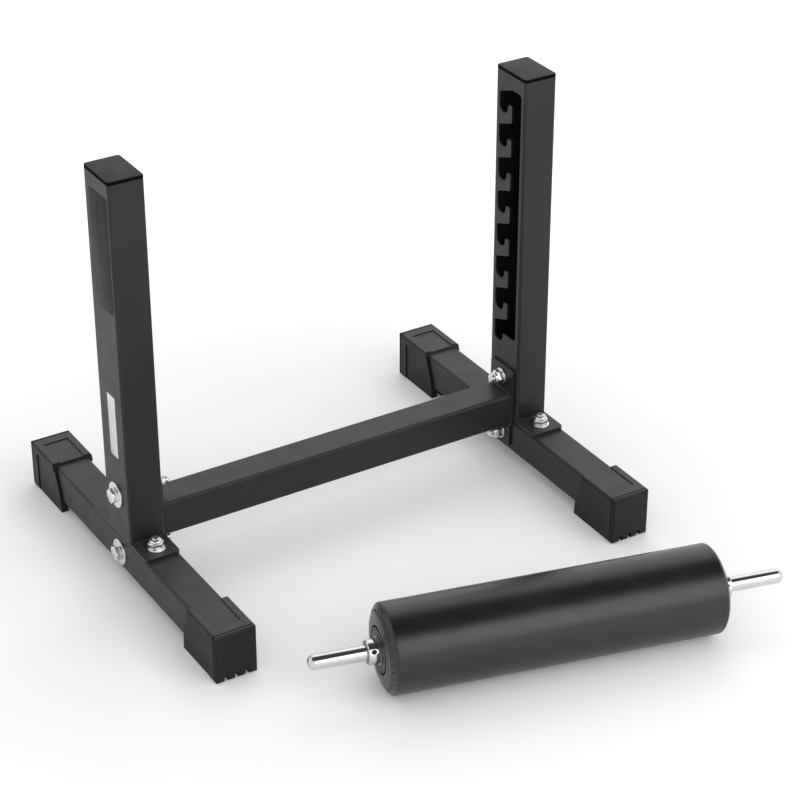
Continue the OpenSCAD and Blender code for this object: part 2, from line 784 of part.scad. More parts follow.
// Foam with domed shoulders and a seat for each hub's flange
module foam_sleeve() {
    color(foam_black) roller_place() rotate_extrude($fn = foam_fn) difference() {
        intersection() {
            translate([0, -foam_l / 2]) square([foam_r, foam_l]);
            union() {
                translate([0, -foam_l / 2]) square([foam_end_d / 2, foam_l]);
                translate([0, -shoulder_straight]) square([foam_r, 2 * shoulder_straight]);
                for (s = [-1, 1]) intersection() {
                    translate([foam_end_d / 2, s * (foam_l / 2 - shoulder_r)])
                        circle(shoulder_r, $fn = foam_fn);
                    translate([0, s * (foam_l - shoulder_l) / 2 - shoulder_l / 2 - past])
                        square([foam_r, shoulder_l + 2 * past]);
                }
            }
        }
        translate([0, -foam_l / 2 - past]) square([(core_d + seat_play) / 2, foam_l + 2 * past]);
        for (s = [0, 1]) mirror([0, s]) translate([0, core_l / 2])
            square([hub_flange_d / 2 + hub_foam_gap, hub_flange_t + past]);
    }
}

// Mirrors its children to the roller's left end
module roller_left() {
    roller_place() mirror([0, 0, 1]) children();
}

stand(left = true) upright();  // left_upright
stand() upright();  // right_upright
stand(left = true) cap();  // left_cap
stand() cap();  // right_cap
stand(left = true) base_plate();  // left_base_plate
stand() base_plate();  // right_base_plate
stand(left = true) floor_tube();  // left_floor_tube
stand() floor_tube();  // right_floor_tube
stand(left = true) shoe();  // front_left_shoe
stand() shoe();  // front_right_shoe
stand(left = true) shoe(back = true);  // back_left_shoe
stand() shoe(back = true);  // back_right_shoe
stand() crossbeam_tube();
stand(left = true) end_plate();  // left_end_plate
stand() end_plate();  // right_end_plate
stand(left = true) beam_bolts();  // left_beam_bolts
stand() beam_bolts();  // right_beam_bolts
stand(left = true) wide_washers();  // left_wide_washers
stand() wide_washers();  // right_wide_washers
stand(left = true) beam_washers();  // left_beam_washers
stand() beam_washers();  // right_beam_washers
stand(left = true) beam_nuts();  // left_beam_nuts
stand() beam_nuts();  // right_beam_nuts
stand(left = true) base_bolts();  // left_base_bolts
stand() base_bolts();  // right_base_bolts
stand(left = true) sole_washers();  // left_sole_washers
stand() sole_washers();  // right_sole_washers
stand(left = true) base_washers();  // left_base_washers
stand() base_washers();  // right_base_washers
stand(left = true) base_nuts();  // left_base_nuts
stand() base_nuts();  // right_base_nuts
axle();
roller_left() collar();  // left_collar
roller_place() collar();  // right_collar
roller_left() set_screw();  // left_set_screw
roller_place() set_screw();  // right_set_screw
core_tube();
roller_left() hub();  // left_hub
roller_place() hub();  // right_hub
foam_sleeve();
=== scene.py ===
import math

import bmesh
import bpy
from mathutils import Matrix, Vector


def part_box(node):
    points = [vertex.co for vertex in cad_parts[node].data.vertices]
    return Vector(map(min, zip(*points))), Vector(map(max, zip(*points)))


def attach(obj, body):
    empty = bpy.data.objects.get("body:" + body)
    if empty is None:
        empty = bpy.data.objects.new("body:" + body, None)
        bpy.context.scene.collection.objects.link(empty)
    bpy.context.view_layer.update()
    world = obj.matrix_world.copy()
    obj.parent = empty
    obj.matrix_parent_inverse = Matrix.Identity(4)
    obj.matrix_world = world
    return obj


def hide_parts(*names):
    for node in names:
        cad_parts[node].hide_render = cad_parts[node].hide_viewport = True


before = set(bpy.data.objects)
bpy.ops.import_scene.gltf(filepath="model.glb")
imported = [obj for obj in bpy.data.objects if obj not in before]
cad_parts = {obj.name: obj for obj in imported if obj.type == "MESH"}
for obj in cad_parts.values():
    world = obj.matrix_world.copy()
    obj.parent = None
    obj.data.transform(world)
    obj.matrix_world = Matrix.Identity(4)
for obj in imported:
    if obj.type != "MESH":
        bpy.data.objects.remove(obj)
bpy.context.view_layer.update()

MM = 0.001
FULL_TURN = 2 * math.pi
SIDES = ("left", "right")


# ---- Bench work: selecting, turning on a lathe, rounding edges, copying ----


def put_down():
    """Leaves edit mode, selects nothing and goes back to picking points, ready for the next piece."""
    if bpy.context.mode != "OBJECT":
        bpy.ops.object.mode_set(mode="OBJECT")
    bpy.ops.object.select_all(action="DESELECT")
    bpy.context.tool_settings.mesh_select_mode = (True, False, False)


def pick_up(*pieces):
    """Selects these pieces only, with the first one active."""
    put_down()
    for piece in pieces:
        piece.select_set(True)
    bpy.context.view_layer.objects.active = pieces[0]


def name_piece(name):
    """Names the active piece and its mesh."""
    piece = bpy.context.object
    piece.name = name
    piece.data.name = name
    return piece


def mark(piece, faces=None, edges=None):
    """In edit mode, selects the faces or the edges that pass a test, and nothing else."""
    mesh = bmesh.from_edit_mesh(piece.data)
    for part in (*mesh.verts, *mesh.edges, *mesh.faces):
        part.select = False
    if faces:
        bpy.context.tool_settings.mesh_select_mode = (False, False, True)
        for face in mesh.faces:
            face.select_set(bool(faces(face)))
    if edges:
        bpy.context.tool_settings.mesh_select_mode = (False, True, False)
        for edge in mesh.edges:
            edge.select_set(bool(edges(edge)))
    mesh.select_flush_mode()
    bmesh.update_edit_mesh(piece.data)


def close_up(piece):
    """Merges doubles and points every face outwards."""
    pick_up(piece)
    bpy.ops.object.mode_set(mode="EDIT")
    bpy.ops.mesh.select_all(action="SELECT")
    bpy.ops.mesh.remove_doubles(threshold=0.005 * MM)
    bpy.ops.mesh.normals_make_consistent(inside=False)
    bpy.ops.object.mode_set(mode="OBJECT")


def draw(name, outline):
    """Draws a chain of edges through (radius, height) points, in millimetres, beside the Z axis. It stays
    in edit mode with all of the chain selected."""
    put_down()
    radius, height = outline[0]
    bpy.ops.mesh.primitive_plane_add(size=MM, location=(radius * MM, 0, height * MM))
    piece = name_piece(name)
    bpy.ops.object.transform_apply(location=True, rotation=True, scale=True)
    bpy.ops.object.mode_set(mode="EDIT")
    bpy.ops.mesh.select_all(action="SELECT")
    bpy.ops.mesh.merge(type="CENTER")
    for (r0, z0), (r1, z1) in zip(outline, outline[1:]):
        step = ((r1 - r0) * MM, 0, (z1 - z0) * MM)
        bpy.ops.mesh.extrude_vertices_move(TRANSFORM_OT_translate={"value": step})
    bpy.ops.mesh.select_all(action="SELECT")
    return piece


def lathe(name, outline, steps):
    """Spins an outline of (radius, height) points, in millimetres, round the Z axis."""
    piece = draw(name, outline)
    bpy.ops.mesh.spin(steps=steps, angle=FULL_TURN, center=(0, 0, 0), axis=(0, 0, 1))
    close_up(piece)
    return piece


def arc(centre, radius, start, end, steps):
    """Points on an arc of (radius, height) points, by angles in degrees from the outward direction."""
    turns = [math.radians(start + (end - start) * k / steps) for k in range(steps + 1)]
    return [(centre[0] + radius * math.cos(t), centre[1] + radius * math.sin(t)) for t in turns]


def finish_with(piece, kind, **settings):
    """Adds one modifier with its settings and applies it."""
    pick_up(piece)
    bpy.ops.object.modifier_add(type=kind)
    modifier = piece.modifiers[-1]
    for key, value in settings.items():
        setattr(modifier, key, value)
    bpy.ops.object.modifier_apply(modifier=modifier.name)


def smooth(piece, angle=35):
    """Shades a piece smooth across all edges that are flatter than an angle in degrees."""
    pick_up(piece)
    bpy.ops.object.shade_smooth_by_angle(angle=math.radians(angle))


def round_edges(piece, width, sharper_than=32):
    """Rounds every edge that is sharper than an angle, and shades the rest smooth."""
    finish_with(piece, "BEVEL", width=width * MM, segments=2, limit_method="ANGLE",
                angle_limit=math.radians(sharper_than), use_clamp_overlap=True)
    smooth(piece)


def cut_off(piece, point, normal):
    """Saws away what lies beyond a plane, and closes the cut."""
    pick_up(piece)
    bpy.ops.object.mode_set(mode="EDIT")
    bpy.ops.mesh.select_all(action="SELECT")
    bpy.ops.mesh.bisect(plane_co=point, plane_no=normal, use_fill=True, clear_outer=True)
    bpy.ops.object.mode_set(mode="OBJECT")


def copy_at(pattern, place, name="copy"):
    """A copy with a mesh of its own, moved to its place there."""
    piece = pattern.copy()
    piece.data = pattern.data.copy()
    piece.name = name
    piece.data.name = name
    bpy.context.scene.collection.objects.link(piece)
    piece.data.transform(place)
    return piece


def join(name, pieces):
    """Makes one piece of several."""
    pick_up(*pieces)
    bpy.ops.object.join()
    return name_piece(name)


def scrap(*pieces):
    """Throws away tools and patterns."""
    for piece in pieces:
        bpy.data.objects.remove(piece)


def seat(piece, body, stands_for=()):
    """Lets a finished piece ride on its body, and hides the CAD nodes that it stands for."""
    piece.parent = None
    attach(piece, body)
    if stands_for:
        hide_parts(*stands_for)


def middle(node):
    """The middle of a CAD node's box."""
    lo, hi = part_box(node)
    return (Vector(lo) + Vector(hi)) / 2


# ---- Finishes ----


def grey(level):
    return (level,) * 3


def new_finish(name):
    finish = bpy.data.materials.new(name)
    finish.use_nodes = True
    nodes, links = finish.node_tree.nodes, finish.node_tree.links
    nodes.clear()
    shader = nodes.new("ShaderNodeBsdfPrincipled")
    output = nodes.new("ShaderNodeOutputMaterial")
    links.new(shader.outputs["BSDF"], output.inputs["Surface"])
    return finish, nodes, links, shader


def noise(nodes, links, where, scale, detail=3.0, drawn_out=(1, 1, 1), turn=0.0):
    """Noise on the piece's own coordinates, with scale in features per metre. It can be drawn out along
    the axes, and turned about Z."""
    mapping = nodes.new("ShaderNodeMapping")
    mapping.vector_type = "TEXTURE"
    mapping.inputs["Rotation"].default_value = (0, 0, turn)
    mapping.inputs["Scale"].default_value = drawn_out
    links.new(where, mapping.inputs["Vector"])
    texture = nodes.new("ShaderNodeTexNoise")
    texture.inputs["Scale"].default_value = scale
    texture.inputs["Detail"].default_value = detail
    links.new(mapping.outputs["Vector"], texture.inputs["Vector"])
    return texture.outputs["Fac"]


def ramp(nodes, links, value, low, high, start=0.35, end=0.65):
    """Colour or grey that goes from low to high as the value goes from start to end."""
    blend = nodes.new("ShaderNodeValToRGB")
    points = blend.color_ramp.elements
    points[0].position, points[1].position = start, end
    points[0].color, points[1].color = (*low, 1), (*high, 1)
    links.new(value, blend.inputs["Fac"])
    return blend.outputs["Color"]


def multiply(nodes, links, first, second):
    product = nodes.new("ShaderNodeMath")
    product.operation = "MULTIPLY"
    links.new(first, product.inputs[0])
    links.new(second, product.inputs[1])
    return product.outputs["Value"]


def mix_colours(nodes, links, amount, first, second):
    """Goes from the colour of a node to a plain colour."""
    mixer = nodes.new("ShaderNodeMix")
    mixer.data_type = "RGBA"
    links.new(amount, mixer.inputs["Factor"])
    links.new(first, mixer.inputs["A"])
    mixer.inputs["B"].default_value = (*second, 1)
    return mixer.outputs["Result"]


def worn_and_highlit_edges(nodes, links, radius):
    """1 along outer edges and 0 on flat faces, from how far a rounded normal leans."""
    rounding = nodes.new("ShaderNodeBevel")
    rounding.samples = 4
    rounding.inputs["Radius"].default_value = radius * MM
    surface = nodes.new("ShaderNodeNewGeometry")
    lean = nodes.new("ShaderNodeVectorMath")
    lean.operation = "DOT_PRODUCT"
    links.new(rounding.outputs["Normal"], lean.inputs[0])
    links.new(surface.outputs["True Normal"], lean.inputs[1])
    edge = nodes.new("ShaderNodeMapRange")
    edge.inputs["From Min"].default_value = 0.9625
    edge.inputs["From Max"].default_value = 0.75
    links.new(lean.outputs["Value"], edge.inputs["Value"])
    return edge.outputs["Result"]


def bumps(nodes, links, heights, shader):
    """Puts several heights on the shader's normal, each as (value, strength, depth in mm)."""
    normal = None
    for value, strength, depth in heights:
        bump = nodes.new("ShaderNodeBump")
        bump.inputs["Strength"].default_value = strength
        bump.inputs["Distance"].default_value = depth * MM
        links.new(value, bump.inputs["Height"])
        if normal:
            links.new(normal, bump.inputs["Normal"])
        normal = bump.outputs["Normal"]
    links.new(normal, shader.inputs["Normal"])


def facing_up(nodes, links):
    """1 on faces that look up and 0 on the others."""
    normal = nodes.new("ShaderNodeSeparateXYZ")
    links.new(nodes.new("ShaderNodeNewGeometry").outputs["True Normal"], normal.inputs["Vector"])
    return ramp(nodes, links, normal.outputs["Z"], grey(0), grey(1), 0.7, 0.95)


def coated(name, dark, light, rough, grain, grain_depth, edge_wear_and_highlight_colour, edge_radius, shine=0.5, painted_top_light=None):
    """A painted or moulded surface: patchy colour, uneven gloss, fine grain and paler edges; the paler edges
    are partly wear and partly a painted highlight. The colour given for the faces that look up is painted
    light, which makes the tops lighter as if more light fell on them."""
    finish, nodes, links, shader = new_finish(name)
    shader.inputs["Specular IOR Level"].default_value = shine
    where = nodes.new("ShaderNodeTexCoord").outputs["Object"]
    patches = noise(nodes, links, where, 9, 4.0)
    colour = ramp(nodes, links, patches, dark, light)
    # Painted light: faces that look up get a lighter colour, as if more light fell on them.
    if painted_top_light:
        colour = mix_colours(nodes, links, facing_up(nodes, links), colour, painted_top_light)
    # Paler edges: partly wear, partly a painted highlight along the edges.
    edge_patchiness = noise(nodes, links, where, 160, 5.0)
    rubbed_and_highlit = multiply(nodes, links, worn_and_highlit_edges(nodes, links, edge_radius),
                      ramp(nodes, links, edge_patchiness, grey(0.25), grey(1)))
    colour = mix_colours(nodes, links, rubbed_and_highlit, colour, edge_wear_and_highlight_colour)
    links.new(colour, shader.inputs["Base Color"])
    gloss = noise(nodes, links, where, 38, 5.0)
    gloss_range = ramp(nodes, links, gloss, grey(rough - 0.05), grey(rough + 0.05), 0.3, 0.7)
    links.new(gloss_range, shader.inputs["Roughness"])
    fine = noise(nodes, links, where, grain, 2.0)
    coarse = noise(nodes, links, where, grain / 6, 2.0)
    bumps(nodes, links, ((coarse, 0.25, grain_depth * 2), (fine, 0.5, grain_depth)), shader)
    return finish


def metal(name, low, high, rough, streak, bump_depth, drawn_out=(1, 1, 1), spots=70, turn=0.0):
    """Bare or plated metal: slight stains in the colour, uneven polish and tool marks along one way."""
    finish, nodes, links, shader = new_finish(name)
    shader.inputs["Metallic"].default_value = 1.0
    where = nodes.new("ShaderNodeTexCoord").outputs["Object"]
    stains = noise(nodes, links, where, spots, 5.0)
    links.new(ramp(nodes, links, stains, low, high, 0.3, 0.7), shader.inputs["Base Color"])
    marks = noise(nodes, links, where, streak, 3.0, drawn_out, turn)
    polish = ramp(nodes, links, marks, grey(rough * 0.8), grey(rough * 1.25), 0.3, 0.7)
    links.new(polish, shader.inputs["Roughness"])
    bumps(nodes, links, ((marks, 0.3, bump_depth),), shader)
    return finish


def grained_vinyl(name):
    """Black vinyl: fine pebbled grain from cells, with painted shade in the valleys between them, small
    creases and a soft, uneven gloss.
    """
    finish, nodes, links, shader = new_finish(name)
    shader.inputs["Specular IOR Level"].default_value = 0.56
    where = nodes.new("ShaderNodeTexCoord").outputs["Object"]
    patches = noise(nodes, links, where, 14, 5.0)
    colour = ramp(nodes, links, patches, (0.008, 0.008, 0.0085), (0.014, 0.014, 0.0145))
    cells = nodes.new("ShaderNodeTexVoronoi")
    cells.feature = "DISTANCE_TO_EDGE"
    cells.inputs["Scale"].default_value = 900
    links.new(where, cells.inputs["Vector"])
    # Painted shade: the valleys between the pebbles are darker, as if shaded.
    painted_valley_shade = ramp(nodes, links, cells.outputs["Distance"], grey(1), grey(0), 0.02, 0.22)
    colour = mix_colours(nodes, links, painted_valley_shade, colour, grey(0.006))
    links.new(colour, shader.inputs["Base Color"])
    gloss = noise(nodes, links, where, 30, 4.0)
    links.new(ramp(nodes, links, gloss, grey(0.26), grey(0.34), 0.3, 0.7), shader.inputs["Roughness"])
    creases = noise(nodes, links, where, 260, 4.0)
    pebbles = ramp(nodes, links, cells.outputs["Distance"], grey(0), grey(1), 0.0, 0.3)
    bumps(nodes, links, ((creases, 0.18, 0.25), (pebbles, 0.3, 0.08)), shader)
    return finish


ROLLER_YAW = -math.radians(13.84)

# The lighter colour given for the tops of the powder coat and of the rubber is painted light.
powder_coat = coated("satin_black_powder_coat", dark=(0.015, 0.015, 0.0155), light=(0.020, 0.020, 0.0205),
                     rough=0.42, grain=1500, grain_depth=0.03, edge_wear_and_highlight_colour=(0.06, 0.06, 0.062),
                     edge_radius=1.2, shine=0.31, painted_top_light=(0.033, 0.033, 0.0335))
cap_plastic = coated("moulded_black_cap_top", dark=grey(0.008), light=grey(0.012), rough=0.52, grain=2200,
                     grain_depth=0.03, edge_wear_and_highlight_colour=grey(0.018), edge_radius=0.8, shine=0.32)
# A darker, duller copy of the cap's material for its sides: painted shade.
cap_side_painted_shade = coated("cap_rim_painted_shade", dark=grey(0.002), light=grey(0.004), rough=0.8, grain=2200,
                 grain_depth=0.02, edge_wear_and_highlight_colour=grey(0.006), edge_radius=0.5, shine=0.04)
shoe_rubber = coated("matt_black_rubber", dark=grey(0.005), light=grey(0.009), rough=0.5, grain=1800,
                     grain_depth=0.05, edge_wear_and_highlight_colour=grey(0.03), edge_radius=1.4, shine=0.27,
                     painted_top_light=grey(0.055))
hub_plastic = coated("turned_black_hub_plastic", dark=grey(0.010), light=grey(0.016), rough=0.45, grain=1700,
                     grain_depth=0.03, edge_wear_and_highlight_colour=grey(0.03), edge_radius=0.7)
panel_film = coated("dark_bare_panel_film", dark=(0.0065, 0.0065, 0.0068), light=(0.009, 0.009, 0.0094),
                    rough=0.5, grain=2600, grain_depth=0.012, edge_wear_and_highlight_colour=grey(0.018), edge_radius=0.4,
                    shine=0.24)
thread_black = coated("black_sewing_thread", dark=grey(0.003), light=grey(0.006), rough=0.7, grain=5200,
                      grain_depth=0.06, edge_wear_and_highlight_colour=grey(0.012), edge_radius=0.3, shine=0.2)
nylon = coated("white_nylon_ring", dark=(0.50, 0.51, 0.52), light=grey(0.60), rough=0.4, grain=2400,
               grain_depth=0.02, edge_wear_and_highlight_colour=grey(0.7), edge_radius=0.3)
vinyl = grained_vinyl("pebbled_black_vinyl")
zinc = metal("bright_zinc_plating", low=(0.68, 0.69, 0.71), high=(0.82, 0.82, 0.83), rough=0.27, streak=420,
             bump_depth=0.02)
blackened = metal("blackened_set_screw_steel", low=grey(0.03), high=grey(0.06), rough=0.4, streak=900,
                  bump_depth=0.01)
polished_steel = metal("polished_axle_steel", low=(0.60, 0.60, 0.61), high=grey(0.67), rough=0.12,
                       streak=240, bump_depth=0.003, drawn_out=(45, 1, 1), turn=ROLLER_YAW)
turned_steel = metal("turned_collar_face_steel", low=(0.18, 0.18, 0.185), high=grey(0.26), rough=0.36,
                     streak=900, bump_depth=0.01, spots=120)
foil = metal("brushed_silver_foil", low=(0.50, 0.50, 0.51), high=grey(0.68), rough=0.34, streak=600,
             bump_depth=0.008, drawn_out=(1, 30, 1), spots=24)


def dress(finish, *nodes):
    """Gives CAD nodes that stay in view their finish."""
    for node in nodes:
        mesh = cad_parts[node].data
        mesh.materials.clear()
        mesh.materials.append(finish)


def both_sides(*names):
    return [f"{side}_{name}" for name in names for side in SIDES]


dress(powder_coat, *both_sides("upright", "base_plate", "floor_tube", "end_plate"), "crossbeam_tube")
dress(shoe_rubber, "front_left_shoe", "front_right_shoe", "back_left_shoe", "back_right_shoe")
dress(blackened, *both_sides("set_screw"))
dress(zinc, "core_tube")


# ---- Fasteners ----

HEX_AF = 19
HEX_CORNER = HEX_AF / math.sqrt(3)
HEX_TOP_R = HEX_AF / 2 - 0.3
HEX_CHAMFER = math.radians(30)
HEAD_H = 7.5
NUT_H = 12
NUT_COLLAR_H = 3.5
CRIMP_R = 2.2
RING_SINK = 0.7
BORE_D = 13
WASHER_ROLL_R = 0.9
THREAD_R = 6
THREAD_PITCH = 1.75
THREAD_L = 14
ROOT_R = 4.95
TIP_CHAMFER = 0.8
# One pitch of the thread, as radius and share of the pitch
THREAD_PROFILE = ((ROOT_R, 0), (ROOT_R, 0.12), (THREAD_R, 0.44), (THREAD_R, 0.56), (ROOT_R, 0.88),
                  (ROOT_R, 1))


def hexagon(name, height, chamfer_ends):
    """Hexagonal bar from Z 0 up, with its corners turned down by a cone at the ends that are named."""
    put_down()
    bpy.ops.mesh.primitive_cylinder_add(vertices=6, radius=HEX_CORNER * MM, depth=height * MM,
                                        location=(0, 0, height * MM / 2), rotation=(0, 0, math.pi / 6))
    bar = name_piece(name)
    bpy.ops.object.transform_apply(location=True, rotation=True, scale=True)
    clear_r = HEX_CORNER + 1
    drop = (clear_r - HEX_AF / 2) * math.tan(HEX_CHAMFER)
    low = [(clear_r, -1)]
    if "low" in chamfer_ends:
        low = [(HEX_TOP_R, 0), (clear_r, drop)]
    high = [(clear_r, height + 1)]
    if "high" in chamfer_ends:
        high = [(clear_r, height - drop), (HEX_TOP_R, height)]
    cone = lathe("turning", [(0, low[0][1]), *low, *high, (0, high[-1][1])], 64)
    finish_with(bar, "BOOLEAN", object=cone, operation="INTERSECT", solver="EXACT")
    scrap(cone)
    return bar


def screw_thread(name, start, end):
    """Helical thread on the Z axis between two heights, sawn flat at both."""
    foot = start - THREAD_PITCH
    turns = math.ceil((end - start) / THREAD_PITCH) + 1
    piece = draw(name, [(r, foot + share * THREAD_PITCH) for r, share in THREAD_PROFILE])
    finish_with(piece, "SCREW", axis="Z", angle=FULL_TURN, screw_offset=THREAD_PITCH * MM, iterations=turns,
                steps=32, render_steps=32, use_merge_vertices=True, merge_threshold=0.01 * MM)
    close_up(piece)
    cut_off(piece, (0, 0, end * MM), (0, 0, 1))
    cut_off(piece, (0, 0, start * MM), (0, 0, -1))
    close_up(piece)
    return piece


def model_bolt(name, length):
    """Hex bolt with its bearing face at Z 0, its head below and its thread above."""
    head = hexagon("head", HEAD_H, "high")
    head.data.transform(Matrix.Rotation(math.pi, 4, "X"))
    round_edges(head, 0.25)
    thread_from = length - THREAD_L
    shank = lathe("shank", [(0, -0.5), (THREAD_R, -0.5), (THREAD_R, thread_from), (ROOT_R, thread_from + 1),
                            (ROOT_R, length - TIP_CHAMFER), (ROOT_R - TIP_CHAMFER, length), (0, length)], 48)
    smooth(shank)
    thread = screw_thread("thread", thread_from + 1, length - 1.1)
    smooth(thread, 25)
    bolt = join(name, [head, shank, thread])
    bolt.data.materials.append(zinc)
    return bolt


def model_nut(name):
    """Lock nut on Z 0: hexagon chamfered at both ends, round crimped collar, and a nylon ring in it."""
    body_h = NUT_H - NUT_COLLAR_H
    body = hexagon("hexagon", body_h, "low high")
    bore_r = THREAD_R - 0.15
    bore = lathe("bore", [(0, -1), (THREAD_R + 0.9, -1), (THREAD_R + 0.9, 0), (bore_r, 1),
                          (bore_r, body_h + 1), (0, body_h + 1)], 48)
    finish_with(body, "BOOLEAN", object=bore, operation="DIFFERENCE", solver="EXACT")
    scrap(bore)
    round_edges(body, 0.22)
    foot, outer = body_h - 0.4, HEX_AF / 2 - 1
    crimp = arc((outer - CRIMP_R, NUT_H - CRIMP_R), CRIMP_R, 0, 90, 9)
    collar = lathe("collar", [(outer, foot), *crimp, (outer - 2.35, NUT_H - 0.45), (outer - 1.9, NUT_H - 0.9),
                              (outer - 1.9, foot), (outer, foot)], 48)
    smooth(collar)
    ring_top, ring_bore_r, ring_r = NUT_H - RING_SINK, THREAD_R - 0.1, outer - 1.7
    ring = lathe("ring", [(ring_bore_r, foot), (ring_r, foot), (ring_r, ring_top), (THREAD_R + 0.3, ring_top),
                          (ring_bore_r, ring_top - 0.4), (ring_bore_r, foot)], 48)
    smooth(ring)
    for part in (body, collar):
        part.data.materials.append(zinc)
    ring.data.materials.append(nylon)
    return join(name, [body, collar, ring])


def model_washer(name, outer_d, thick):
    """Stamped washer on Z 0 with a rolled outer edge on top and a small burr-free bore."""
    r, b = outer_d / 2, BORE_D / 2
    roll = arc((r - WASHER_ROLL_R, thick - WASHER_ROLL_R), WASHER_ROLL_R, 0, 90, 6)
    outline = [(b, 0.2), (b + 0.2, 0), (r - 0.3, 0), (r, 0.3), *roll, (b + 0.4, thick), (b, thick - 0.4),
               (b, 0.2)]
    washer = lathe(name, outline, 72)
    smooth(washer, 40)
    washer.data.materials.append(zinc)
    return washer


beam_bolt = model_bolt("beam_bolt", 76.5)
base_bolt = model_bolt("base_bolt", 74.5)
lock_nut = model_nut("lock_nut")
plain_washer = model_washer("plain_washer", 24, 2.5)
wide_washer = model_washer("wide_washer", 36, 3)

# How a pattern's Z axis is laid, by the way that it heads
WAYS = {"up": Matrix.Identity(4), "right": Matrix.Rotation(math.pi / 2, 4, "Y"),
        "left": Matrix.Rotation(-math.pi / 2, 4, "Y")}

# Turn of each fastener about its own axis, in degrees, as a wrench happened to leave it
TURNS = {"left_beam": (12, 47), "right_beam": (33, 5), "left_base": (21, 52), "right_base": (40, 9)}


def fasten(node, pattern, end, turns, heading):
    """Puts two copies of a pattern where a CAD node's two pieces are. end is the place of the pattern's
    Z 0, up or across."""
    lo, hi = map(Vector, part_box(node))
    copies = []
    for k, turn in enumerate(turns):
        place = (lo + hi) / 2
        if heading == "up":
            reach = (hi.x - lo.x) / 2
            place.y = (hi.y - reach) if k else (lo.y + reach)
            place.z = end
        else:
            reach = HEX_CORNER * MM if "bolts" in node or "nuts" in node else (hi.y - lo.y) / 2
            place.z = (hi.z - reach) if k else (lo.z + reach)
            place.x = end
        move = Matrix.Translation(place) @ WAYS[heading] @ Matrix.Rotation(math.radians(turn), 4, "Z")
        copies.append(copy_at(pattern, move))
    seat(join(f"{node}_fitted", copies), "stand", [node])


def side_face(node, face):
    """X of a node's outer or inner face, by whether it looks away from the stand's middle."""
    lo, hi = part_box(node)
    return (lo if (face == "outer") == node.startswith("left") else hi)[0]


for side, inward, outward in (("left", "right", "left"), ("right", "left", "right")):
    beam, base = TURNS[f"{side}_beam"], TURNS[f"{side}_base"]
    head = HEAD_H * MM if side == "left" else -HEAD_H * MM
    for group, pattern, face, past_face, turns, heading in (
            ("beam_bolts", beam_bolt, "outer", head, beam, inward),
            ("wide_washers", wide_washer, "inner", 0, beam, outward),
            ("beam_washers", plain_washer, "outer", 0, beam, inward),
            ("beam_nuts", lock_nut, "outer", 0, beam[::-1], inward)):
        node = f"{side}_{group}"
        fasten(node, pattern, side_face(node, face) + past_face, turns, heading)
    for group, pattern, past_foot, turns in (
            ("base_bolts", base_bolt, HEAD_H * MM, base),
            ("sole_washers", plain_washer, 0, base),
            ("base_washers", plain_washer, 0, base),
            ("base_nuts", lock_nut, 0, base[::-1])):
        node = f"{side}_{group}"
        fasten(node, pattern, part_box(node)[0][2] + past_foot, turns, "up")
scrap(beam_bolt, base_bolt, lock_nut, plain_washer, wide_washer)


# ---- Caps ----

CAP_W, CAP_D, CAP_H = 50, 70, 5
CAP_CORNER_R = 4
CAP_EDGE_R = 1.5
CAP_FOOT_R = 0.25
PLUG_W, PLUG_D, PLUG_DEPTH = 42, 62, 20
PLUG_WALL = 2
RIB_W, RIB_D, RIB_H = 43.8, 63.8, 1.5
RIB_EDGE_R = 0.4
RIB_FEET = (-18.5, -12.33, -6.17)


def block(name, width, depth, foot, top, corner):
    """Upright block round the Z axis with round corners, between two heights in millimetres."""
    put_down()
    bpy.ops.mesh.primitive_cube_add(size=1, location=(0, 0, (foot + top) / 2 * MM),
                                    scale=(width * MM, depth * MM, (top - foot) * MM))
    piece = name_piece(name)
    bpy.ops.object.transform_apply(location=True, rotation=True, scale=True)
    bpy.ops.object.mode_set(mode="EDIT")
    mark(piece, edges=lambda edge: abs(edge.verts[0].co.z - edge.verts[1].co.z) > 0.5 * (top - foot) * MM)
    bpy.ops.mesh.bevel(offset=corner * MM, segments=8, profile=0.5, affect="EDGES", clamp_overlap=False)
    bpy.ops.object.mode_set(mode="OBJECT")
    return piece


def round_rim(piece, height, radius, segments):
    """Rounds the edges that lie at one height."""
    pick_up(piece)
    bpy.ops.object.mode_set(mode="EDIT")
    mark(piece, edges=lambda edge: all(abs(v.co.z - height * MM) < 0.01 * MM for v in edge.verts))
    bpy.ops.mesh.bevel(offset=radius * MM, segments=segments, profile=0.5, affect="EDGES",
                       clamp_overlap=False)
    bpy.ops.object.mode_set(mode="OBJECT")


def model_cap(name):
    """Cap on Z 0: a flat top with round edges, over a hollow plug with three ribs; its sides get painted
    shade.
    """
    top = block("top", CAP_W, CAP_D, 0, CAP_H, CAP_CORNER_R)
    round_rim(top, CAP_H, CAP_EDGE_R, 5)
    round_rim(top, 0, CAP_FOOT_R, 2)
    plug = block("plug", PLUG_W, PLUG_D, -PLUG_DEPTH, 0.5, PLUG_WALL)
    bpy.ops.object.mode_set(mode="EDIT")
    mark(plug, faces=lambda face: face.normal.z < -0.9)
    bpy.ops.mesh.inset(thickness=PLUG_WALL * MM)
    bpy.ops.mesh.extrude_region_move(TRANSFORM_OT_translate={"value": (0, 0, (PLUG_DEPTH - PLUG_WALL) * MM)})
    bpy.ops.object.mode_set(mode="OBJECT")
    ribs = []
    for foot in RIB_FEET:
        rib = block("rib", RIB_W, RIB_D, foot, foot + RIB_H, PLUG_WALL)
        round_rim(rib, foot, RIB_EDGE_R, 2)
        ribs.append(rib)
    cap = join(name, [top, plug, *ribs])
    close_up(cap)
    smooth(cap)
    cap.data.materials.append(cap_plastic)
    # Faces that don't look up take the darker copy, as painted shade on the cap's sides.
    cap.data.materials.append(cap_side_painted_shade)
    for face in cap.data.polygons:
        face.material_index = 0 if face.normal.z > 0.5 else 1
    return cap


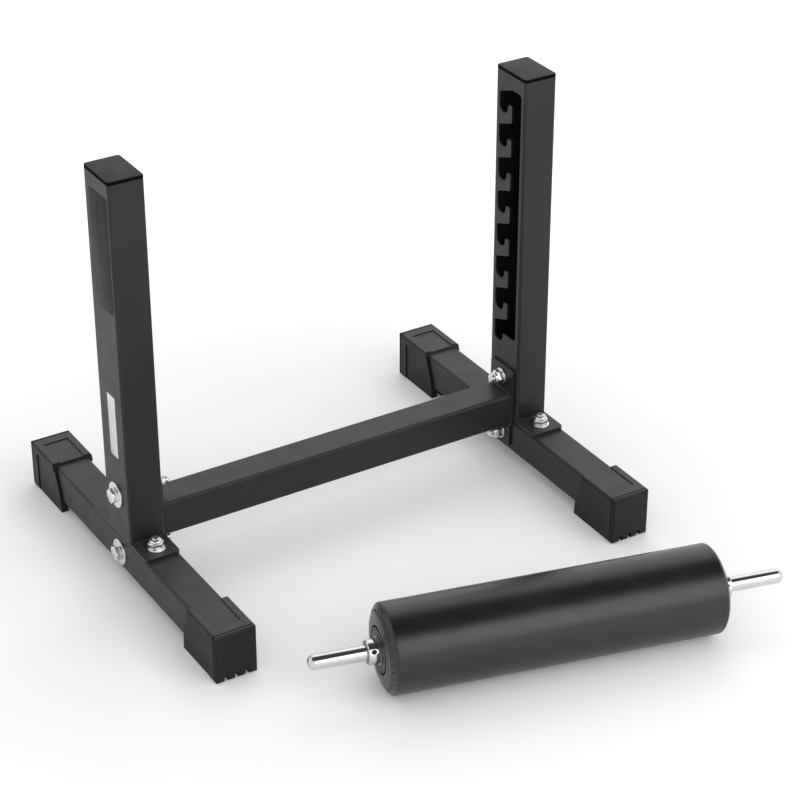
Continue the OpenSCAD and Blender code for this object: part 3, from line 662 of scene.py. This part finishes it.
cap_pattern = model_cap("cap")
for side in SIDES:
    node = f"{side}_cap"
    spot = middle(node)
    spot.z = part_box(node)[1][2] - CAP_H * MM
    seat(copy_at(cap_pattern, Matrix.Translation(spot), f"{node}_fitted"), "stand", [node])
scrap(cap_pattern)


# ---- Axle and shaft collars, modelled upright on the roller's Z line and then laid down ----

LAY_DOWN = (Matrix.Translation(middle("axle")) @ Matrix.Rotation(ROLLER_YAW, 4, "Z")
            @ Matrix.Rotation(math.pi / 2, 4, "Y"))
TURN_OVER = Matrix.Scale(-1, 4, (0, 0, 1))
AXLE_R = 10
AXLE_HALF = 320
AXLE_TIP_R = 8
HUB_FACE = 228.7
COLLAR_R = 16.3
COLLAR_BORE_R = 10.05
COLLAR_NECK_R = COLLAR_R - 1.2
COLLAR_CHAMFER = 1.0
WASHER_FROM = HUB_FACE + 0.3
WASHER_TO = WASHER_FROM + 0.55
WASHER_R = 18.8
COLLAR_FROM = WASHER_FROM + 1.0
COLLAR_TO = WASHER_FROM + 15.4
SCREW_AT = 237.5
SCREW_TURN = 58
SCREW_HOLE_R = 3.05
DRILL_L = 14


def fit_at_both_ends(pattern, name, body, node=None):
    """Lays a pattern down at the roller's right end and its mirror image at the left end."""
    for side in SIDES:
        piece = copy_at(pattern, LAY_DOWN @ TURN_OVER if side == "left" else LAY_DOWN, f"{side}_{name}")
        close_up(piece)
        seat(piece, body, [f"{side}_{node}"] if node else ())
    scrap(pattern)


def model_axle(name):
    """Polished bar with round tips."""
    straight = AXLE_HALF - AXLE_TIP_R
    tip = arc((AXLE_R - AXLE_TIP_R, straight), AXLE_TIP_R, 0, 90, 10)
    low_tip = [(r, -z) for r, z in reversed(tip)]
    bar = [(AXLE_R, -straight + 2 * straight * k / 12) for k in range(1, 12)]
    piece = lathe(name, [(0, -AXLE_HALF), *low_tip, *bar, *tip, (0, AXLE_HALF)], 96)
    smooth(piece, 40)
    piece.data.materials.append(polished_steel)
    return piece


def model_collar(name):
    """Shaft collar: a thin washer that runs against the hub, a narrow neck and a chamfered ring with
    turned ends, drilled for its set screw."""
    outline = [(COLLAR_BORE_R, WASHER_FROM), (WASHER_R - 0.2, WASHER_FROM), (WASHER_R, WASHER_FROM + 0.2),
               (WASHER_R - 0.15, WASHER_TO), (COLLAR_NECK_R, WASHER_TO), (COLLAR_NECK_R, COLLAR_FROM),
               (COLLAR_R - 0.3, COLLAR_FROM), (COLLAR_R, COLLAR_FROM + 0.3),
               (COLLAR_R, COLLAR_TO - COLLAR_CHAMFER), (COLLAR_R - COLLAR_CHAMFER, COLLAR_TO),
               (COLLAR_BORE_R + 0.4, COLLAR_TO), (COLLAR_BORE_R, COLLAR_TO - 0.4),
               (COLLAR_BORE_R, WASHER_FROM)]
    piece = lathe(name, outline, 96)
    put_down()
    bpy.ops.mesh.primitive_cylinder_add(vertices=32, radius=SCREW_HOLE_R * MM, depth=DRILL_L * MM)
    drill = name_piece("drill")
    drill.data.transform(Matrix.Translation((0, 0, SCREW_AT * MM))
                         @ Matrix.Rotation(math.radians(SCREW_TURN), 4, "Z")
                         @ Matrix.Rotation(-math.pi / 2, 4, "Y") @ Matrix.Translation((0, 0, DRILL_L * MM)))
    finish_with(piece, "BOOLEAN", object=drill, operation="DIFFERENCE", solver="EXACT")
    scrap(drill)
    round_edges(piece, 0.12, sharper_than=40)
    piece.data.materials.append(polished_steel)
    piece.data.materials.append(turned_steel)
    for face in piece.data.polygons:
        washer = face.center.z < (COLLAR_FROM - 0.2) * MM
        face.material_index = 1 if washer or abs(face.normal.z) > 0.9 else 0
    return piece


axle = model_axle("axle_bar")
axle.data.transform(LAY_DOWN)
seat(axle, "axle_set", ["axle"])
fit_at_both_ends(model_collar("collar_pattern"), "collar_fitted", "axle_set", "collar")


# ---- Hubs ----

HUB_R = 29.6
HUB_DEPTH = 25
FLANGE_T = 3
SLEEVE_R = 14.05
RIM_R = 22.95
RIM_WALL = 2
WEB_T = 3
WEB_COUNT = 6


def model_hub(name):
    """Hub: a flat flange, a bearing sleeve and a rim behind it, and webs between the two."""
    back = HUB_FACE - FLANGE_T
    end = back - HUB_DEPTH
    inside = RIM_R - RIM_WALL
    outline = [(COLLAR_BORE_R, end), (SLEEVE_R, end), (SLEEVE_R, back), (inside, back), (inside, end),
               (RIM_R, end), (RIM_R, back), (HUB_R - 0.3, back), (HUB_R, back + 0.3), (HUB_R, HUB_FACE - 0.5),
               (HUB_R - 0.5, HUB_FACE), (COLLAR_BORE_R + 0.8, HUB_FACE), (COLLAR_BORE_R, HUB_FACE - 0.8),
               (COLLAR_BORE_R, end)]
    body = lathe(name, outline, 96)
    smooth(body)
    web = block("web", inside - SLEEVE_R + 1, WEB_T, end + 0.5, back + 0.5, 0.4)
    web.data.transform(Matrix.Translation(((inside + SLEEVE_R) / 2 * MM, 0, 0)))
    webs = [copy_at(web, Matrix.Rotation(k * FULL_TURN / WEB_COUNT, 4, "Z")) for k in range(WEB_COUNT)]
    scrap(web)
    hub = join(name, [body, *webs])
    hub.data.materials.append(hub_plastic)
    return hub


fit_at_both_ends(model_hub("hub_pattern"), "hub_fitted", "roller", "hub")


# ---- Padded roller cover ----

FOAM_R = 59.5
FOAM_HALF = 228.3
SHOULDER_L = 11
SHOULDER_FROM = FOAM_HALF - SHOULDER_L
WALL_RINGS = 41
END_R = 36
CORNER_R = 0.35 * SHOULDER_L
RISE = FOAM_R - END_R
DOME_R = (SHOULDER_L ** 2 + RISE ** 2 - 2 * RISE * CORNER_R) / (2 * (SHOULDER_L - CORNER_R))
SEAT_R = 31.8
SEAT_FLOOR = 225.7
GAP_FLOOR = 220
BORE_R = 25.05
LIP_R = 0.9
VALLEY_R, VALLEY_DEPTH, VALLEY_SPREAD = 41, 0.55, 2.2
SEAM_R, SEAM_DEPTH, SEAM_SPREAD = 50, 0.3, 1.6
STITCH_COUNT = 28
STEPS_PER_STITCH = 6
PIT_DEPTH = 2.2
THREAD_DEPTH = 1.9
SLACK = 0.35
SLACK_HALF = 214


def dent(distance, spread):
    """1 in the middle of a dent, that fades out over its spread."""
    return math.exp(-(distance / spread) ** 2)


def shoulder_points():
    """The shoulder's outline: a wide dome, with a soft valley in it, that a small arc joins to the wall."""
    lean = math.degrees(math.atan2(DOME_R - SHOULDER_L, RISE - CORNER_R))
    dome = arc((END_R, FOAM_HALF - DOME_R), DOME_R, 90, lean, 26)
    sunk = [(r, z - VALLEY_DEPTH * dent(r - VALLEY_R, VALLEY_SPREAD)
             - SEAM_DEPTH * dent(r - SEAM_R, SEAM_SPREAD)) for r, z in dome]
    return sunk + arc((FOAM_R - CORNER_R, SHOULDER_FROM), CORNER_R, lean, 0, 7)[1:]


def press_pits(cover):
    """Presses a small pit into the shoulder at each stitch."""
    pit_step = FULL_TURN / STITCH_COUNT
    for vertex in cover.data.vertices:
        radius = math.hypot(vertex.co.x, vertex.co.y)
        if vertex.co.z < SHOULDER_FROM * MM or radius < (SEAM_R - 4) * MM:
            continue
        turn = math.atan2(vertex.co.y, vertex.co.x)
        aside = (turn - round(turn / pit_step) * pit_step) * radius
        away = math.hypot(radius - SEAM_R * MM, aside)
        vertex.co.z -= PIT_DEPTH * MM * dent(away, SEAM_SPREAD * MM)


def model_cover():
    """Half of the cover's outline, spun and mirrored: bore, flange seat, rolled lip, domed shoulder with
    pits and the long straight wall, which is a little slack."""
    wall = [(FOAM_R, SHOULDER_FROM * (1 - k / WALL_RINGS)) for k in range(1, WALL_RINGS + 1)]
    lip = arc((SEAT_R + LIP_R, FOAM_HALF - LIP_R), LIP_R, 180, 90, 5)
    outline = [(BORE_R, 0), (BORE_R, SEAT_FLOOR), (HUB_R - 0.2, SEAT_FLOOR), (HUB_R - 0.2, GAP_FLOOR),
               (SEAT_R, GAP_FLOOR), *lip, *shoulder_points(), *wall]
    cover = lathe("foam_cover", outline, STITCH_COUNT * STEPS_PER_STITCH)
    press_pits(cover)
    finish_with(cover, "MIRROR", use_axis=(False, False, True), merge_threshold=0.02 * MM)
    close_up(cover)
    ripple = bpy.data.textures.new("slack", type="CLOUDS")
    ripple.noise_scale = 0.045
    ripple.noise_depth = 2
    skin = [v.index for v in cover.data.vertices
            if math.hypot(v.co.x, v.co.y) > (FOAM_R - 0.3) * MM and abs(v.co.z) < SLACK_HALF * MM]
    cover.vertex_groups.new(name="skin").add(skin, 1.0, "REPLACE")
    finish_with(cover, "DISPLACE", texture=ripple, strength=SLACK * MM, mid_level=1.0,
                texture_coords="LOCAL", vertex_group="skin")
    cover.vertex_groups.clear()
    smooth(cover, 50)
    cover.data.materials.append(vinyl)
    return cover


def model_stitches(name):
    """Ring of thread ends, one at the bottom of each pit in the shoulder."""
    put_down()
    shoulder_at_seam = FOAM_HALF - DOME_R + math.sqrt(DOME_R ** 2 - (SEAM_R - END_R) ** 2)
    place = (SEAM_R * MM, 0, (shoulder_at_seam - THREAD_DEPTH) * MM)
    bpy.ops.mesh.primitive_uv_sphere_add(segments=10, ring_count=8, radius=MM, location=place,
                                         scale=(0.8, 1.1, 0.5))
    stitches = name_piece(name)
    bpy.ops.object.transform_apply(location=True, rotation=True, scale=True)
    bpy.ops.object.mode_set(mode="EDIT")
    bpy.ops.mesh.select_all(action="SELECT")
    bpy.ops.mesh.spin(steps=STITCH_COUNT, angle=FULL_TURN, dupli=True, center=(0, 0, 0), axis=(0, 0, 1))
    bpy.ops.object.mode_set(mode="OBJECT")
    close_up(stitches)
    smooth(stitches, 60)
    stitches.data.materials.append(thread_black)
    return stitches


cover = model_cover()
cover.data.transform(LAY_DOWN)
seat(cover, "roller", ["foam_sleeve"])
fit_at_both_ends(model_stitches("stitch_pattern"), "cover_stitches", "roller")


# ---- Bare panel and label on the left upright's outer face ----

PLATE_SINK = 0.02


def thin_plate(name, breadth, rise, corner, thick, finish):
    """Thin plate with round corners, on the left upright's outer face. breadth and rise give its edges in
    millimetres, from the upright's middle and from the floor."""
    (y0, y1), (z0, z1) = breadth, rise
    face_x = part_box("left_upright")[0][0]
    place = (face_x - (thick / 2 - PLATE_SINK) * MM, middle("left_upright").y + (y0 + y1) / 2 * MM,
             (z0 + z1) / 2 * MM)
    put_down()
    bpy.ops.mesh.primitive_cube_add(size=1, location=place,
                                    scale=(thick * MM, (y1 - y0) * MM, (z1 - z0) * MM))
    plate = name_piece(name)
    bpy.ops.object.transform_apply(location=True, rotation=True, scale=True)
    bpy.ops.object.mode_set(mode="EDIT")
    mark(plate, edges=lambda edge: abs(edge.verts[0].co.x - edge.verts[1].co.x) > 0.5 * thick * MM)
    bpy.ops.mesh.bevel(offset=corner * MM, segments=10, profile=0.5, affect="EDGES", clamp_overlap=False)
    front = face_x - (thick - PLATE_SINK) * MM
    mark(plate, edges=lambda edge: all(abs(v.co.x - front) < 0.001 * MM for v in edge.verts))
    bpy.ops.mesh.bevel(offset=thick * 0.4 * MM, segments=2, affect="EDGES")
    bpy.ops.object.mode_set(mode="OBJECT")
    close_up(plate)
    smooth(plate)
    plate.data.materials.append(finish)
    seat(plate, "stand")


thin_plate("left_bare_panel", (-28, 24), (408, 570), corner=6, thick=0.35, finish=panel_film)
thin_plate("left_bare_label", (-13, 9), (191.5, 282.5), corner=1.5, thick=0.2, finish=foil)


# ---- Floor, lights and camera ----


def seen_by_eye(nodes, links):
    """1 for what the camera, gloss and glass see, and 0 for the light that falls on the pieces."""
    path = nodes.new("ShaderNodeLightPath")
    seen = path.outputs["Is Camera Ray"]
    for ray in ("Is Glossy Ray", "Is Transmission Ray"):
        either = nodes.new("ShaderNodeMath")
        either.operation = "MAXIMUM"
        links.new(seen, either.inputs[0])
        links.new(path.outputs[ray], either.inputs[1])
        seen = either.outputs["Value"]
    return seen


def towards(nodes, links, direction, aim):
    """How well a direction agrees with an aim: 1 when they are the same."""
    product = nodes.new("ShaderNodeVectorMath")
    product.operation = "DOT_PRODUCT"
    product.inputs[1].default_value = Vector(aim).normalized()
    links.new(direction, product.inputs[0])
    return product.outputs["Value"]


def lay_floor(paper, paper_to_eye, glow, whiten, centre, near, far):
    """White paper that keeps the shadows. It throws back a little less light than the eye sees, and it
    fades to pure white at a distance, from near to far in metres, from a centre."""
    put_down()
    bpy.ops.mesh.primitive_plane_add(size=60, location=(0, 0, 0))
    floor = name_piece("studio_floor")
    finish = bpy.data.materials.new("white_studio_paper")
    finish.use_nodes = True
    nodes, links = finish.node_tree.nodes, finish.node_tree.links
    nodes.clear()
    seen = seen_by_eye(nodes, links)
    diffuse = nodes.new("ShaderNodeBsdfDiffuse")
    links.new(ramp(nodes, links, seen, grey(paper), grey(paper_to_eye), 0, 1), diffuse.inputs["Color"])
    distance = nodes.new("ShaderNodeVectorMath")
    distance.operation = "DISTANCE"
    distance.inputs[1].default_value = centre
    links.new(nodes.new("ShaderNodeTexCoord").outputs["Object"], distance.inputs[0])
    fade = nodes.new("ShaderNodeMapRange")
    fade.interpolation_type = "SMOOTHSTEP"
    fade.inputs["From Min"].default_value = near
    fade.inputs["From Max"].default_value = far
    fade.inputs["To Min"].default_value = glow
    fade.inputs["To Max"].default_value = glow + whiten
    links.new(distance.outputs["Value"], fade.inputs["Value"])
    light = nodes.new("ShaderNodeEmission")
    links.new(multiply(nodes, links, seen, fade.outputs["Result"]), light.inputs["Strength"])
    both = nodes.new("ShaderNodeAddShader")
    links.new(diffuse.outputs["BSDF"], both.inputs[0])
    links.new(light.outputs["Emission"], both.inputs[1])
    output = nodes.new("ShaderNodeOutputMaterial")
    links.new(both.outputs["Shader"], output.inputs["Surface"])
    floor.data.materials.append(finish)


def light_the_room(ambient, overhead, overhead_aim, back_panel, back_aim):
    """World: soft ambient light, and for the eye and for gloss a white room with a dark ceiling and a
    brighter panel at the back right."""
    world = bpy.data.worlds.new("studio")
    bpy.context.scene.world = world
    world.use_nodes = True
    nodes, links = world.node_tree.nodes, world.node_tree.links
    nodes.clear()
    direction = nodes.new("ShaderNodeTexCoord").outputs["Generated"]
    ceiling = ramp(nodes, links, towards(nodes, links, direction, overhead_aim), grey(1), grey(overhead),
                   0.76, 0.88)
    panel = ramp(nodes, links, towards(nodes, links, direction, back_aim), grey(0), grey(back_panel),
                 0.84, 0.97)
    walls = nodes.new("ShaderNodeVectorMath")
    walls.operation = "ADD"
    links.new(ceiling, walls.inputs[0])
    links.new(panel, walls.inputs[1])
    soft = nodes.new("ShaderNodeBackground")
    soft.inputs["Strength"].default_value = ambient
    room = nodes.new("ShaderNodeBackground")
    links.new(walls.outputs["Vector"], room.inputs["Color"])
    either = nodes.new("ShaderNodeMixShader")
    links.new(seen_by_eye(nodes, links), either.inputs["Fac"])
    links.new(soft.outputs["Background"], either.inputs[1])
    links.new(room.outputs["Background"], either.inputs[2])
    output = nodes.new("ShaderNodeOutputWorld")
    links.new(either.outputs["Shader"], output.inputs["Surface"])


def hang_softbox(name, place, aim, width, height, watts, in_gloss=True):
    """Rectangular lamp at a place, turned to an aim, which gloss may show or not."""
    data = bpy.data.lights.new(name, "AREA")
    data.shape = "RECTANGLE"
    data.size, data.size_y = width, height
    data.energy = watts
    lamp = bpy.data.objects.new(name, data)
    bpy.context.scene.collection.objects.link(lamp)
    lamp.location = place
    lamp.rotation_euler = (Vector(aim) - Vector(place)).to_track_quat("-Z", "Y").to_euler()
    lamp.visible_glossy = in_gloss


def set_camera(place, tilt, heading, lens):
    """Camera with its angles in degrees and its lens in millimetres, on a frame 36 mm wide."""
    data = bpy.data.cameras.new("camera")
    data.lens = lens
    data.sensor_width = 36
    camera = bpy.data.objects.new("camera", data)
    bpy.context.scene.collection.objects.link(camera)
    camera.location = place
    camera.rotation_euler = (math.radians(tilt), 0, math.radians(heading))
    bpy.context.scene.camera = camera


lay_floor(paper=0.7, paper_to_eye=0.98, glow=0.06, whiten=0.22, centre=(0, 0.05, 0), near=0.35, far=1.2)
light_the_room(ambient=0.93, overhead=0.06, overhead_aim=(0.03, -0.13, 1), back_panel=0.4,
               back_aim=(0.50, 0.62, 0.60))
hang_softbox("back_right_softbox", place=(1.6, 1.9, 2.7), aim=(0, 0, 0.1), width=2.0, height=1.4, watts=15,
             in_gloss=False)
hang_softbox("front_softbox", place=(0.8, -2.8, 1.7), aim=(0, -0.2, 0.1), width=3.2, height=2.2, watts=35)
set_camera((-1.43068, -2.35319, 1.84359), tilt=59.7754, heading=-31.4306, lens=109.11)
bpy.context.scene.view_settings.view_transform = "Standard"
